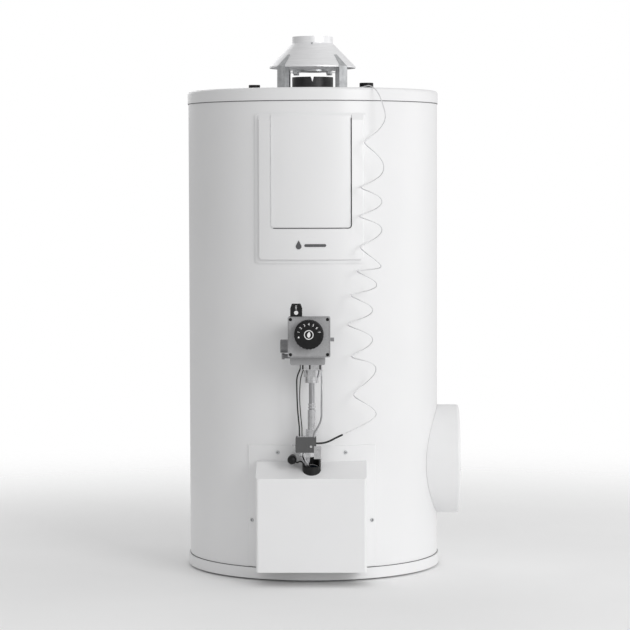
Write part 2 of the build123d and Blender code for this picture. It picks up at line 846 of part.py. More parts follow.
def valve_cover():
    half = valve_cover_width / 2
    rise = valve_cover_height / 2
    wall = valve_cover_wall
    outside = brick((valve_x - half, valve_x + half), (valve_front, valve_cover_back),
                    (valve_height - rise, valve_height + rise))
    outside = fillet(outside.edges().filter_by(Axis.Y), valve_cover_corner)
    hollow = brick((valve_x - half + wall, valve_x + half - wall), (valve_front + wall, valve_cover_back),
                   (valve_height - rise + wall, valve_height + rise - wall))
    shell = outside - hollow
    for x, z in valve_screw_places():
        seat = (x, valve_front + valve_screw_length, z)
        shell += rod(valve_screw_radius + 2, valve_screw_length, seat, FRONT) & outside
        shell -= rod(valve_screw_radius, valve_screw_length, seat, FRONT)
    shell -= rod(knob_shaft_radius + knob_shaft_gap, valve_cover_depth,
                 (valve_x, valve_cover_back, valve_height + knob_rise), FRONT)
    gap = button_gap
    middle = valve_x + button_offset
    front, back = button_span()
    return shell - brick((middle - button_half_width - gap, middle + button_half_width + gap),
                         (front - gap, back + gap), (valve_height, valve_cover_top + 1))


def button_span():
    """Front and back of the start button."""
    front = valve_front + button_setback
    return front, front + button_depth


def valve_screw_places():
    half = valve_cover_width / 2 - valve_screw_inset
    rise = valve_cover_height / 2 - valve_screw_inset
    return [(valve_x + sx * half, valve_height + sz * rise) for sx in (-1, 1) for sz in (-1, 1)]


def valve_cover_screws():
    face = valve_front + valve_screw_sunk
    length = valve_screw_length - valve_screw_sunk
    half = valve_screw_slot / 2
    screws = []
    for x, z in valve_screw_places():
        shaft = rod(valve_screw_radius, length, (x, valve_front + valve_screw_length, z), FRONT)
        slot = brick((x - valve_screw_radius, x + valve_screw_radius), (face, face + valve_screw_slot),
                     (z - half, z + half))
        screws.append(shaft - slot)
    return Compound(children=screws)


def valve_stem():
    length = -valve_body_back
    stem = rod(stem_radius, length, (valve_x, 0, valve_height), FRONT)
    stem -= rod(tank_radius, casing_height, (0, 0, 0))
    rosette = bent_plate(Pos(valve_x, valve_height) * Circle(rosette_radius), casing_radius, rosette_thickness)
    return stem + rosette - rod(well_radius, FAR, (valve_x, 0, valve_height), FRONT)


def immersion_well():
    return rod(well_radius, well_length - valve_body_back - tank_radius,
               (valve_x, -(tank_radius - well_length), valve_height), FRONT)


def temperature_knob():
    z = valve_height + knob_rise
    back = valve_front - knob_gap
    grip = rod(knob_radius, knob_height, (valve_x, back, z), FRONT)
    grip = fillet(grip.edges().group_by(Axis.Y)[0], knob_edge)
    for index in range(knob_flute_count):
        x, rise, _ = on_circle(knob_radius + knob_flute_radius * 0.4, index * 360 / knob_flute_count)
        grip -= rod(knob_flute_radius, knob_height, (valve_x + x, back - knob_flute_setback, z + rise), FRONT)
    shaft = rod(knob_shaft_radius, valve_cover_depth + knob_gap + knob_shaft_in_body,
                (valve_x, valve_cover_back + knob_shaft_in_body, z), FRONT)
    return grip + shaft


def knob_dial_marks():
    z = valve_height + knob_rise
    face = valve_front - knob_gap - knob_height
    marks = [pipe(*dial_ring, dial_mark_thickness, (valve_x, face, z), FRONT)]
    for index in range(1, dial_tick_count + 1):
        tick = brick(dial_tick_span, (face - dial_mark_thickness, face),
                     (-dial_tick_half_width, dial_tick_half_width))
        marks.append(Pos(valve_x, 0, z) * Rot(0, -index * dial_tick_step, 0) * tick)
    return Compound(children=marks)


def start_button():
    front, back = button_span()
    middle = valve_x + button_offset
    low = valve_cover_top - button_inside
    shoulder = valve_cover_top + button_shoulder
    top = valve_cover_top + button_height
    outline = Polyline((middle - button_half_width, low), (middle + button_half_width, low),
                       (middle + button_half_width, shoulder), (middle + button_top_half_width, top),
                       (middle - button_top_half_width, top), (middle - button_half_width, shoulder),
                       close=True)
    return extrude(Plane.XZ.offset(-back) * make_face(outline), back - front)


def start_button_marks():
    front, _ = button_span()
    middle = valve_x + button_offset
    half = button_bar_half_width
    dot_height = valve_cover_top + button_dot_rise
    marks = [rod(button_dot_radius, dial_mark_thickness, (middle, front, dot_height), FRONT)]
    for index in range(button_bar_count):
        z = valve_cover_top + button_bar_rise + index * button_bar_step
        marks.append(brick((middle - half, middle + half), (front - dial_mark_thickness, front),
                           (z, z + button_bar_height)))
    return Compound(children=marks)


def gas_inlet_union():
    side = valve_body_sides()[0]
    z = valve_height - inlet_below_centre
    union = rod(inlet_radius, inlet_length, (side, pipe_y, z), LEFT)
    union = chamfer(union.edges().group_by(Axis.X)[0], inlet_floor / 2)
    return union - rod(inlet_bore, inlet_length, (side - inlet_floor, pipe_y, z), LEFT)


def test_nipples():
    """The burner pressure nipple on the right and the inlet pressure plug on the left."""
    left, right = valve_body_sides()
    z = valve_height - test_nipple_below
    nipple_right = rod(test_nipple_radius, test_nipple_length, (right, pipe_y, z), RIGHT)
    nipple_right -= rod(test_nipple_bore, test_nipple_length, (right + inlet_floor, pipe_y, z), RIGHT)
    z = valve_height - plug_below
    y = pipe_y - plug_forward
    plug = rod(plug_radius, plug_length, (left, y, z), LEFT)
    plug += nut(plug_nut_size, plug_nut_height, (left - plug_length, y, z), LEFT)
    return Compound(children=[nipple_right, plug])


# ---------------------------------------------------------------- pipes, block, igniter

def union_nuts():
    bore = rod(pipe_radius, FAR, (pipe_x, pipe_y, plate_top))
    outlet = rod(outlet_radius, outlet_height, (pipe_x, pipe_y, pipe_top))
    upper = nut(upper_nut_size, upper_nut_height, (pipe_x, pipe_y, pipe_top - upper_nut_height)) - bore
    lower = nut(lower_nut_size, sleeve_bottom - plate_top, (pipe_x, pipe_y, plate_top)) - bore
    return Compound(children=[outlet, upper, lower])


def gas_pipe():
    return rod(pipe_radius, pipe_top - plate_top, (pipe_x, pipe_y, plate_top))


def pipe_sleeves():
    low = pipe_top - upper_nut_height - collar_height
    rings = [pipe(collar_radius, pipe_radius, collar_height, (pipe_x, pipe_y, low))]
    rings.append(pipe(sleeve_radius, pipe_radius, sleeve_top - sleeve_bottom, (pipe_x, pipe_y, sleeve_bottom)))
    for z in olive_places:
        rings.append(pipe(olive_radius, pipe_radius, olive_height, (pipe_x, pipe_y, z)))
    return Compound(children=rings)


def safety_leads():
    low = plate_top
    high = valve_body_bottom
    y = pipe_y
    outer = [(valve_x - 19, y, high), (valve_x - 19, y, high - 9), (valve_x - 27, y - 5, high - 28),
             (-29.5, y - 8, high - 60), (-28, y - 8, high - 98), (-24.5, y - 4, low + 18), (-24.5, y - 4, low)]
    inner = [(valve_x - 12, y - 7, high), (valve_x - 12, y - 7, high - 9), (valve_x - 19, y - 11, high - 30),
             (-24, y - 12, high - 66), (-22, y - 11, high - 104), (-19, y - 8, low + 18), (-19, y - 8, low)]
    return Compound(children=[swept_tube(outer, safety_lead_radius)[0],
                              swept_tube(inner, safety_lead_radius * 0.7)[0]])


def pilot_gas_tube():
    high = valve_body_bottom
    y = block_span()[1][0] + pilot_tube_radius + 1.5
    points = [(22, pipe_y, high), (22, pipe_y, high - 18), (23, y, high - 50), (22, y, high - 85),
              (22.5, y, high - 117), (6.5, y, block_top + 8), (6.5, y, block_top)]
    return swept_tube(points, pilot_tube_radius)[0]


def block_span():
    return (block_x - block_width / 2, block_x + block_width / 2), (pipe_y - block_depth / 2,
                                                                    pipe_y + block_depth / 2)


def interrupter_block():
    across, deep = block_span()
    body = brick(across, deep, (block_bottom, block_top))
    return chamfer(body.edges().filter_by(Axis.Y), block_edge)


def block_fittings():
    """Top plate, side pin, screw on the front, bracket and outlet nut."""
    across, deep = block_span()
    plate = brick((across[0] + 4, across[1] - 2), (pipe_y - block_plate_half, pipe_y + block_plate_half),
                  (block_top, plate_top))
    pin = rod(block_pin_radius, block_pin_length, (across[0], pipe_y, block_pin_height), LEFT)
    knurl = rod(block_screw_radius, block_screw_height, (0, deep[0], block_screw_place), FRONT)
    bracket = brick((across[1] - bracket_width * 0.3, across[1] + bracket_width * 0.7),
                    (deep[0] - bracket_sheet, deep[0]), (shroud_top - 2, bracket_top))
    outlet = nut(outlet_nut_size, outlet_nut_height, (supply_x, pipe_y, block_bottom - outlet_nut_height))
    outlet -= rod(pipe_radius, outlet_nut_height, (supply_x, pipe_y, block_bottom - outlet_nut_height))
    return Compound(children=[plate, pin, knurl, bracket, outlet])


def burner_supply_pipe():
    inner_y = -(casing_radius + shroud_reach)
    points = [(supply_x, pipe_y, block_bottom), (supply_x, pipe_y, block_bottom - 18),
              (supply_x, inner_y, shroud_top - 24), (supply_x, inner_y, burner_height),
              (supply_x, -mixer_front - injector_reach, burner_height)]
    return swept_tube(points, pipe_radius)[0]


def burner():
    """Ported head on two posts, with the mixer tube that runs to it from the front."""
    bottom = burner_height + mixer_radius - mixer_wall * 2
    inner = burner_head_radius - burner_head_wall
    head = rod(burner_head_radius, burner_head_thickness, (0, 0, bottom))
    head = fillet(head.edges().group_by(Axis.Z)[-1], burner_head_edge)
    head -= rod(inner, burner_head_thickness - burner_head_wall, (0, 0, bottom))
    for index in range(burner_port_count):
        place = on_circle(burner_port_circle, index * 360 / burner_port_count, bottom)
        head -= rod(burner_port_radius, FAR, place)
    head += pipe(burner_head_radius, burner_floor_opening, mixer_wall, (0, 0, bottom))
    for side in (-1, 1):
        foot = (side * burner_post_place, burner_post_place, floor_of_casing)
        head += rod(burner_post_radius, bottom + 1 - floor_of_casing, foot)
    mixer = rod(mixer_radius, mixer_front, (supply_x, 0, burner_height), FRONT)
    return head + mixer - rod(mixer_radius - mixer_wall, mixer_front, (supply_x, 0, burner_height), FRONT)


def piezo_igniter():
    body = rod(igniter_radius, casing_radius + igniter_reach, (igniter_x, 0, igniter_height), FRONT)
    body -= rod(casing_radius + cover_flange_thickness, casing_height, (0, 0, 0))
    return body - rod(igniter_bore, FAR, (igniter_x, -casing_radius - igniter_floor, igniter_height), FRONT)


def piezo_button():
    back = -(casing_radius + igniter_reach + igniter_stroke_gap)
    dome = rod(igniter_button_radius, igniter_button_length, (igniter_x, back, igniter_height), FRONT)
    dome = fillet(dome.edges().group_by(Axis.Y)[0], igniter_button_radius * 0.8)
    length = igniter_stroke_gap + igniter_plunger_length
    plunger = rod(igniter_bore - igniter_plunger_gap, length, (igniter_x, back + length, igniter_height), FRONT)
    return dome + plunger


# ---------------------------------------------------------------- flue gas sensor's lead

lead_top_points = [(64.3, 64.3, 1077), (64.3, 64.3, 1066), (62, 50, 1055), (68, 24, 1052), (75, -12, 1052.5),
                   (86, -56, 1052), (97, -100, 1052.5), (107, -148, 1052), (116, -194, 1052.5),
                   (124, -232, 1053), (135, -255, 1044), (143, -264, 1025), (144, -271, 1006),
                   (144, -271, 990)]
lead_coil_points = [(134, -281, 990), (134, -281, 936), (128, -283.5, 872), (126, -284, 812),
                    (125.5, -285, 752), (124, -285.5, 694), (113, -290, 634), (104, -293.5, 575),
                    (103, -293, 514), (110, -291, 455), (115, -289, 402), (115, -289, 350)]
lead_bottom_points = [(115, -289, 350), (115, -289, 341), (101, -300, 332.5), (83, -306, 325), (66, -311, 318)]
lead_sleeve_points = [(66, -311, 318), (52.4, -315, 312.4), (36, -320, 304), (22, -322, 301),
                      (10.5, -322, 301)]


def sensor_lead(name, points, diameter):
    tube, radii, length = swept_tube(points, diameter / 2)
    section = pi * diameter ** 2 / 4
    print(name, "radii", [round(r) for r in radii], "length", round(length),
          "volume over section times length", round(tube.volume / (section * length), 3))
    return tube


nodes = {
    "outer_casing": outer_casing(),
    "casing_lid": casing_lid(),
    "base_pan": base_pan(),
    "tank_shell": tank_shell(),
    "combustion_skirt": combustion_skirt(),
    "flue_tube": flue_tube(),
    "turbulator": turbulator(),
    "insulation": insulation(),
    "hot_water_nipple": nipple(hot_radius, hot_place, hot_height),
    "cold_water_nipple": nipple(cold_radius, cold_place, cold_height),
    "circulation_nipple": nipple(circulation_radius, circulation_place, circulation_height),
    "hot_water_cap": cap(hot_radius, hot_place, hot_height),
    "cold_water_cap": cap(cold_radius, cold_place, cold_height),
    "circulation_cap": cap(circulation_radius, circulation_place, circulation_height),
    "dip_tube": dip_tube(),
    "anode_rod": anode_rod(),
    "flue_hood": flue_hood(),
    "hood_legs": hood_legs(),
    "hood_baffle": hood_baffle(),
    "sheet_screws": sheet_screws(),
    "flue_sensor": flue_sensor(),
    "front_panel": front_panel(),
    "front_badge": front_badge(),
    "burner_cover": burner_cover(),
    "pipe_shroud": shroud(),
    "inspection_neck": inspection_neck(),
    "inspection_gasket": inspection_gasket(),
    "inspection_plate": inspection_plate(),
    "inspection_bolts": inspection_bolts(),
    "inspection_collar": inspection_collar(),
    "inspection_cover": inspection_cover(),
    "valve_body": valve_body(),
    "valve_cover": valve_cover(),
    "valve_cover_screws": valve_cover_screws(),
    "valve_stem": valve_stem(),
    "immersion_well": immersion_well(),
    "temperature_knob": temperature_knob(),
    "knob_dial_marks": knob_dial_marks(),
    "start_button": start_button(),
    "start_button_marks": start_button_marks(),
    "gas_inlet_union": gas_inlet_union(),
    "test_nipples": test_nipples(),
    "union_nuts": union_nuts(),
    "gas_pipe": gas_pipe(),
    "pipe_sleeves": pipe_sleeves(),
    "safety_leads": safety_leads(),
    "pilot_gas_tube": pilot_gas_tube(),
    "interrupter_block": interrupter_block(),
    "block_fittings": block_fittings(),
    "burner_supply_pipe": burner_supply_pipe(),
    "burner": burner(),
    "piezo_igniter": piezo_igniter(),
    "piezo_button": piezo_button(),
    "sensor_lead_top": sensor_lead("sensor_lead_top", lead_top_points, lead_diameter),
    "sensor_lead_coil": sensor_lead("sensor_lead_coil", lead_coil_points, lead_coil_diameter),
    "sensor_lead_bottom": sensor_lead("sensor_lead_bottom", lead_bottom_points, lead_diameter),
    "sensor_lead_sleeve": sensor_lead("sensor_lead_sleeve", lead_sleeve_points, lead_sleeve_diameter),
}
for foot_name, foot_angle in foot_angles.items():
    nodes[foot_name] = levelling_foot(foot_angle)

os.makedirs("parts", exist_ok=True)
for node_name, shape in nodes.items():
    export_step(shape, f"parts/{node_name}.step")
print(len(nodes), "nodes")
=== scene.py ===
import json
from math import cos, pi, radians, sin, tau

import bmesh
import bpy
from mathutils import Matrix, Vector


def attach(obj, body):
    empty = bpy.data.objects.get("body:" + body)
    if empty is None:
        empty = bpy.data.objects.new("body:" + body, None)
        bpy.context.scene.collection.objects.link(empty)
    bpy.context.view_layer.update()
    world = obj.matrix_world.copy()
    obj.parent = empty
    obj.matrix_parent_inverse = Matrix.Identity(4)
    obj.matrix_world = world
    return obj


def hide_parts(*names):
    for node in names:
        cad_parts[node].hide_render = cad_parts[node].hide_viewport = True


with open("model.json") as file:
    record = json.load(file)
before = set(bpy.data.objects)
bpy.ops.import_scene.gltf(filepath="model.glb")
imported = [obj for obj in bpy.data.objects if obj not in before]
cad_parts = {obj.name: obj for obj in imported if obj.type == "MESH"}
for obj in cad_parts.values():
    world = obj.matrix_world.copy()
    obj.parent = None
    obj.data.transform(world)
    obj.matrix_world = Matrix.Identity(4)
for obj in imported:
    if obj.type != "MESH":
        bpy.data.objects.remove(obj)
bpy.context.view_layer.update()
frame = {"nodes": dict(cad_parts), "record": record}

MM = 0.001
NODES = frame["nodes"]


# ---------------------------------------------------------------- camera, floor and light

CAMERA_DISTANCE = 5.346       # metres from the heater's axis
CAMERA_HEIGHT = 0.843
CAMERA_AZIMUTH = 0.9          # degrees, towards the inspection cover
CAMERA_TILT = 3.102
CAMERA_PAN = 0.042
CAMERA_ROLL = -0.147
LENS = 137.45
FLOOR_SOLID = 0.45            # radius up to which the floor is whole, and where it has faded away
FLOOR_END = 2.6


def make_camera():
    data = bpy.data.cameras.new("camera")
    data.lens = LENS
    data.sensor_width = 36.0
    data.clip_end = 60.0
    camera = bpy.data.objects.new("camera", data)
    bpy.context.scene.collection.objects.link(camera)
    turn = Matrix.Rotation(radians(CAMERA_AZIMUTH), 4, "Z")
    place = turn @ Matrix.Translation((0, -CAMERA_DISTANCE, CAMERA_HEIGHT))
    aim = Matrix.Rotation(radians(-CAMERA_PAN), 4, "Z") @ Matrix.Rotation(radians(90 - CAMERA_TILT), 4, "X")
    camera.matrix_world = place @ aim @ Matrix.Rotation(radians(CAMERA_ROLL), 4, "Z")
    bpy.context.scene.camera = camera


def area_light(name, place, target, size, power, colour=(1, 1, 1)):
    data = bpy.data.lights.new(name, "AREA")
    data.shape = "RECTANGLE"
    data.size, data.size_y = size
    data.energy = power
    data.color = colour
    light = bpy.data.objects.new(name, data)
    bpy.context.scene.collection.objects.link(light)
    direction = Vector(target) - Vector(place)
    light.location = place
    light.rotation_euler = direction.to_track_quat("-Z", "Y").to_euler()
    return light


def make_world():
    """A white studio: plain white behind the object, and a paler fill that is stronger on the right."""
    world = bpy.data.worlds.new("studio")
    bpy.context.scene.world = world
    world.use_nodes = True
    tree = world.node_tree
    tree.nodes.clear()
    nodes, links = tree.nodes, tree.links
    out = nodes.new("ShaderNodeOutputWorld")
    seen = nodes.new("ShaderNodeBackground")
    seen.inputs["Color"].default_value = (1, 1, 1, 1)
    seen.inputs["Strength"].default_value = 1.0
    fill = nodes.new("ShaderNodeBackground")
    fill.inputs["Strength"].default_value = 1.0
    place = nodes.new("ShaderNodeTexCoord")
    parts = nodes.new("ShaderNodeSeparateXYZ")
    links.new(place.outputs["Generated"], parts.inputs[0])
    ramp = nodes.new("ShaderNodeValToRGB")
    side = nodes.new("ShaderNodeMapRange")
    side.inputs["From Min"].default_value = -1.0
    links.new(parts.outputs["X"], side.inputs["Value"])
    links.new(side.outputs[0], ramp.inputs["Fac"])
    ramp.color_ramp.interpolation = "EASE"
    ramp.color_ramp.elements[0].position = 0.0
    ramp.color_ramp.elements[0].color = (0.46, 0.46, 0.46, 1)
    ramp.color_ramp.elements[1].position = 1.0
    ramp.color_ramp.elements[1].color = (0.72, 0.72, 0.72, 1)
    links.new(ramp.outputs[0], fill.inputs["Color"])
    path = nodes.new("ShaderNodeLightPath")
    mix = nodes.new("ShaderNodeMixShader")
    links.new(path.outputs["Is Camera Ray"], mix.inputs["Fac"])
    links.new(fill.outputs[0], mix.inputs[1])
    links.new(seen.outputs[0], mix.inputs[2])
    links.new(mix.outputs[0], out.inputs["Surface"])


def floor_finish():
    """Pale floor whose far part fades into the white behind it."""
    material = surface("studio_floor", (0.93, 0.93, 0.93), 0.8, mottle=0.01, grain=3.0, specular=0.1)
    tree = material.node_tree
    nodes, links = tree.nodes, tree.links
    out = next(n for n in nodes if n.type == "OUTPUT_MATERIAL")
    shader = next(n for n in nodes if n.type == "BSDF_PRINCIPLED")
    place = nodes.new("ShaderNodeTexCoord")
    distance = nodes.new("ShaderNodeVectorMath")
    distance.operation = "LENGTH"
    links.new(place.outputs["Object"], distance.inputs[0])
    fade = nodes.new("ShaderNodeMapRange")
    fade.interpolation_type = "SMOOTHERSTEP"
    fade.inputs["From Min"].default_value = FLOOR_SOLID
    fade.inputs["From Max"].default_value = FLOOR_END
    links.new(distance.outputs["Value"], fade.inputs["Value"])
    clear = nodes.new("ShaderNodeBsdfTransparent")
    mix = nodes.new("ShaderNodeMixShader")
    links.new(fade.outputs[0], mix.inputs["Fac"])
    links.new(shader.outputs[0], mix.inputs[1])
    links.new(clear.outputs[0], mix.inputs[2])
    links.new(mix.outputs[0], out.inputs["Surface"])
    return material


def make_stage():
    mesh = bpy.data.meshes.new("floor")
    reach = FLOOR_END + 0.5
    mesh.from_pydata([(-reach, -reach, 0), (reach, -reach, 0), (reach, reach, 0), (-reach, reach, 0)],
                     [], [(0, 1, 2, 3)])
    floor = bpy.data.objects.new("floor", mesh)
    bpy.context.scene.collection.objects.link(floor)
    mesh.materials.append(floor_finish())
    area_light("key", (3.0, -3.9, 2.1), (0.0, 0.0, 0.6), (1.8, 2.6), 88)
    area_light("side", (4.2, 0.9, 1.3), (0.0, 0.0, 0.6), (2.0, 3.0), 12)
    area_light("fill", (-3.6, -4.2, 1.4), (0.0, 0.0, 0.6), (2.5, 3.0), 6)
    area_light("back", (-1.5, 4.5, 2.6), (0.0, 0.0, 0.6), (3.0, 3.0), 40)
    bpy.context.scene.view_settings.view_transform = "Standard"
    bpy.context.scene.view_settings.look = "None"


# ---------------------------------------------------------------- materials

def surface(name, colour, roughness, metallic=0.0, mottle=0.03, grain=40.0, spread=0.06, bump=0.0,
            bump_scale=300.0, stretch=(1, 1, 1), coat=0.0, wear=0.0, wear_colour=(0.6, 0.6, 0.6),
            alpha=1.0, specular=0.5):
    """A finish made of layered noise: its colour drifts, its roughness varies and its skin is uneven."""
    material = bpy.data.materials.new(name)
    material.use_nodes = True
    tree = material.node_tree
    tree.nodes.clear()
    nodes, links = tree.nodes, tree.links
    out = nodes.new("ShaderNodeOutputMaterial")
    shader = nodes.new("ShaderNodeBsdfPrincipled")
    links.new(shader.outputs[0], out.inputs["Surface"])
    shader.inputs["Metallic"].default_value = metallic
    shader.inputs["Coat Weight"].default_value = coat
    shader.inputs["Coat Roughness"].default_value = 0.15
    shader.inputs["Specular IOR Level"].default_value = specular
    shader.inputs["Alpha"].default_value = alpha
    place = nodes.new("ShaderNodeTexCoord")
    scale = nodes.new("ShaderNodeMapping")
    scale.inputs["Scale"].default_value = stretch
    links.new(place.outputs["Object"], scale.inputs["Vector"])

    drift = nodes.new("ShaderNodeTexNoise")
    drift.inputs["Scale"].default_value = grain
    drift.inputs["Detail"].default_value = 5.0
    links.new(scale.outputs[0], drift.inputs["Vector"])
    ramp = nodes.new("ShaderNodeValToRGB")
    low = [max(c * (1 - mottle), 0) for c in colour]
    high = [min(c * (1 + mottle), 1) for c in colour]
    ramp.color_ramp.elements[0].position = 0.3
    ramp.color_ramp.elements[0].color = (*low, 1)
    ramp.color_ramp.elements[1].position = 0.7
    ramp.color_ramp.elements[1].color = (*high, 1)
    links.new(drift.outputs["Fac"], ramp.inputs["Fac"])
    colour_out = ramp.outputs["Color"]
    if wear:
        edge = nodes.new("ShaderNodeNewGeometry")
        sharp = nodes.new("ShaderNodeMapRange")
        sharp.inputs["From Min"].default_value = 0.54
        sharp.inputs["From Max"].default_value = 0.62
        sharp.inputs["To Max"].default_value = wear
        links.new(edge.outputs["Pointiness"], sharp.inputs["Value"])
        worn = nodes.new("ShaderNodeMix")
        worn.data_type = "RGBA"
        worn.inputs["B"].default_value = (*wear_colour, 1)
        links.new(sharp.outputs[0], worn.inputs["Factor"])
        links.new(colour_out, worn.inputs["A"])
        colour_out = worn.outputs["Result"]
    links.new(colour_out, shader.inputs["Base Color"])

    haze = nodes.new("ShaderNodeTexNoise")
    haze.inputs["Scale"].default_value = grain * 0.35
    haze.inputs["Detail"].default_value = 3.0
    links.new(scale.outputs[0], haze.inputs["Vector"])
    gloss = nodes.new("ShaderNodeMapRange")
    gloss.inputs["To Min"].default_value = max(roughness - spread, 0.02)
    gloss.inputs["To Max"].default_value = min(roughness + spread, 1.0)
    links.new(haze.outputs["Fac"], gloss.inputs["Value"])
    links.new(gloss.outputs[0], shader.inputs["Roughness"])

    if bump:
        skin = nodes.new("ShaderNodeTexNoise")
        skin.inputs["Scale"].default_value = bump_scale
        skin.inputs["Detail"].default_value = 3.0
        links.new(scale.outputs[0], skin.inputs["Vector"])
        raised = nodes.new("ShaderNodeBump")
        raised.inputs["Strength"].default_value = min(bump, 1.0)
        raised.inputs["Distance"].default_value = 0.0004
        links.new(skin.outputs["Fac"], raised.inputs["Height"])
        links.new(raised.outputs[0], shader.inputs["Normal"])
    return material


def make_finishes():
    white = dict(roughness=0.38, mottle=0.012, grain=6.0, bump=0.10, bump_scale=420.0, coat=0.15)
    made = {
        "white_enamel": surface("white_enamel", (0.84, 0.84, 0.845), **white),
        "galvanised_steel": surface("galvanised_steel", (0.56, 0.57, 0.58), 0.36, 1.0, 0.16, 90.0, 0.10,
                                    0.12, 160.0),
        "bright_sheet": surface("bright_sheet", (0.90, 0.90, 0.91), 0.46, 0.50, 0.05, 30.0, 0.08,
                                0.20, 60.0, stretch=(1, 1, 24)),
        "black_enamel": surface("black_enamel", (0.022, 0.022, 0.023), 0.48, 0.0, 0.30, 60.0, 0.10,
                                0.25, 500.0, stretch=(1, 1, 6)),
        "tank_steel": surface("tank_steel", (0.06, 0.09, 0.15), 0.25, 0.0, 0.2, 30.0, 0.05,
                              0.1, 200.0, coat=0.6),
        "foam": surface("foam", (0.80, 0.68, 0.42), 0.9, 0.0, 0.12, 160.0, 0.05, 0.8, 700.0),
        "nipple_steel": surface("nipple_steel", (0.50, 0.50, 0.51), 0.35, 1.0, 0.08, 80.0, 0.08, 0.2, 300.0,
                                stretch=(1, 1, 10)),
        "black_plastic": surface("black_plastic", (0.006, 0.006, 0.0065), 0.45, 0.0, 0.4, 120.0, 0.08, 0.30,
                                 1500.0, wear=0.10, wear_colour=(0.05, 0.05, 0.05), specular=0.28),
        "natural_plastic": surface("natural_plastic", (0.78, 0.77, 0.72), 0.5, mottle=0.04),
        "magnesium": surface("magnesium", (0.45, 0.45, 0.47), 0.6, 1.0, 0.15, 120.0, 0.1, 0.4, 400.0),
        "gasket_rubber": surface("gasket_rubber", (0.03, 0.03, 0.03), 0.8, 0.0, 0.2, 200.0, 0.05, 0.3, 900.0),
        "cast_grey": surface("cast_grey", (0.275, 0.275, 0.28), 0.50, 0.15, 0.34, 520.0, 0.10, 0.60, 900.0,
                             wear=0.5, wear_colour=(0.50, 0.50, 0.51)),
        "black_screw": surface("black_screw", (0.015, 0.015, 0.015), 0.35, 0.6, 0.3, 200.0, 0.08),
        "white_print": surface("white_print", (0.85, 0.85, 0.85), 0.55, 0.0, 0.04, 200.0, 0.05),
        "badge_grey": surface("badge_grey", (0.10, 0.10, 0.105), 0.45, 0.0, 0.10, 200.0, 0.05),
        "grey_casting": surface("grey_casting", (0.20, 0.20, 0.205), 0.5, 0.3, 0.22, 300.0, 0.10, 0.4, 700.0,
                                wear=0.5, wear_colour=(0.45, 0.45, 0.46)),
        "chromed_brass": surface("chromed_brass", (0.62, 0.62, 0.63), 0.24, 1.0, 0.10, 120.0, 0.06,
                                 0.12, 300.0),
        "steel_tube": surface("steel_tube", (0.42, 0.42, 0.43), 0.32, 1.0, 0.10, 80.0, 0.08, 0.10, 200.0,
                              stretch=(4, 4, 1)),
        "dark_sheath": surface("dark_sheath", (0.02, 0.02, 0.02), 0.6, 0.0, 0.3, 400.0, 0.08, 0.3, 1500.0),
        "block_grey": surface("block_grey", (0.036, 0.036, 0.038), 0.55, 0.0, 0.45, 900.0, 0.10, 0.9, 1300.0,
                              wear=0.3, wear_colour=(0.2, 0.2, 0.2)),
        "burner_steel": surface("burner_steel", (0.09, 0.08, 0.08), 0.7, 0.5, 0.3, 80.0, 0.1, 0.4, 300.0),
        "sensor_metal": surface("sensor_metal", (0.60, 0.60, 0.61), 0.35, 1.0, 0.08, 100.0, 0.08),
        "lead_metal": surface("lead_metal", (0.76, 0.76, 0.77), 0.45, 0.25, 0.10, 300.0, 0.08),
    }
    slot_of = {row["node"]: row["material_slot"] for row in frame["record"]["subparts"]}
    for name, node in NODES.items():
        node.data.materials.clear()
        node.data.materials.append(made[slot_of[name]])
    return made


# ---------------------------------------------------------------- the sensor's lead

LEAD_DIAMETER = 2.2 * MM
LEAD_TOP = [(64.3, 64.3, 1077), (64.3, 64.3, 1066), (62, 50, 1055), (68, 24, 1052), (75, -12, 1052.5),
            (86, -56, 1052), (97, -100, 1052.5), (107, -148, 1052), (116, -194, 1052.5),
            (124, -232, 1053), (137, -255, 1044), (147, -264, 1027), (153, -271, 1008)]
LEAD_BOTTOM = [(127, -297, 347), (110, -302, 338), (88, -307, 328), (66, -311, 318)]
LEAD_SLEEVE = [(66, -311, 318), (52.4, -315, 312.4), (36, -320, 304), (22, -322, 301), (10.5, -322, 301)]
COIL_AXIS = [(134, -281, 990), (134, -281, 936), (128, -283.5, 872), (126, -284, 812),
             (125.5, -285, 752), (124, -285.5, 694), (113, -290, 634), (104, -293.5, 575),
             (103, -293, 514), (110, -291, 455), (115, -289, 402), (115, -289, 350)]
COIL_DEPTH = 23.0             # half of the coil's size from front to back
POINTS_PER_HALF_TURN = 7
# Where the wire turns back, x and height, first on the right and then right and left by turns
TURNS = ((158, 989), (113, 931), (154, 878), (105, 837), (150, 807), (102, 776), (150, 748), (104, 711),
         (148, 671), (97, 661), (139, 632), (84, 610), (130, 579), (77, 549), (130, 517), (85, 481),
         (137, 455), (89, 400), (138, 357))
STEEP_TURN = 1.6              # fall of the wire at a right turn and at a left one, against its mean fall
FLAT_TURN = 0.35


def depth_of_axis(height):
    """How far forward the coil's middle is at a height, between the axis points above and below it."""
    for above, below in zip(COIL_AXIS, COIL_AXIS[1:]):
        if above[2] >= height >= below[2]:
            share = (above[2] - height) / (above[2] - below[2])
            return above[1] + (below[1] - above[1]) * share
    return COIL_AXIS[0][1] if height > COIL_AXIS[0][2] else COIL_AXIS[-1][1]


def turn_falls():
    """How steeply the wire falls where it turns back: round on the right, sharp on the left."""
    drops = [high[1] - low[1] for high, low in zip(TURNS, TURNS[1:])]
    falls = []
    for index in range(len(TURNS)):
        near = drops[max(index - 1, 0):index + 1]
        fall = sum(near) / len(near) * (FLAT_TURN if index % 2 else STEEP_TURN)
        falls.append(min(fall, 2.6 * min(near)))
    return falls


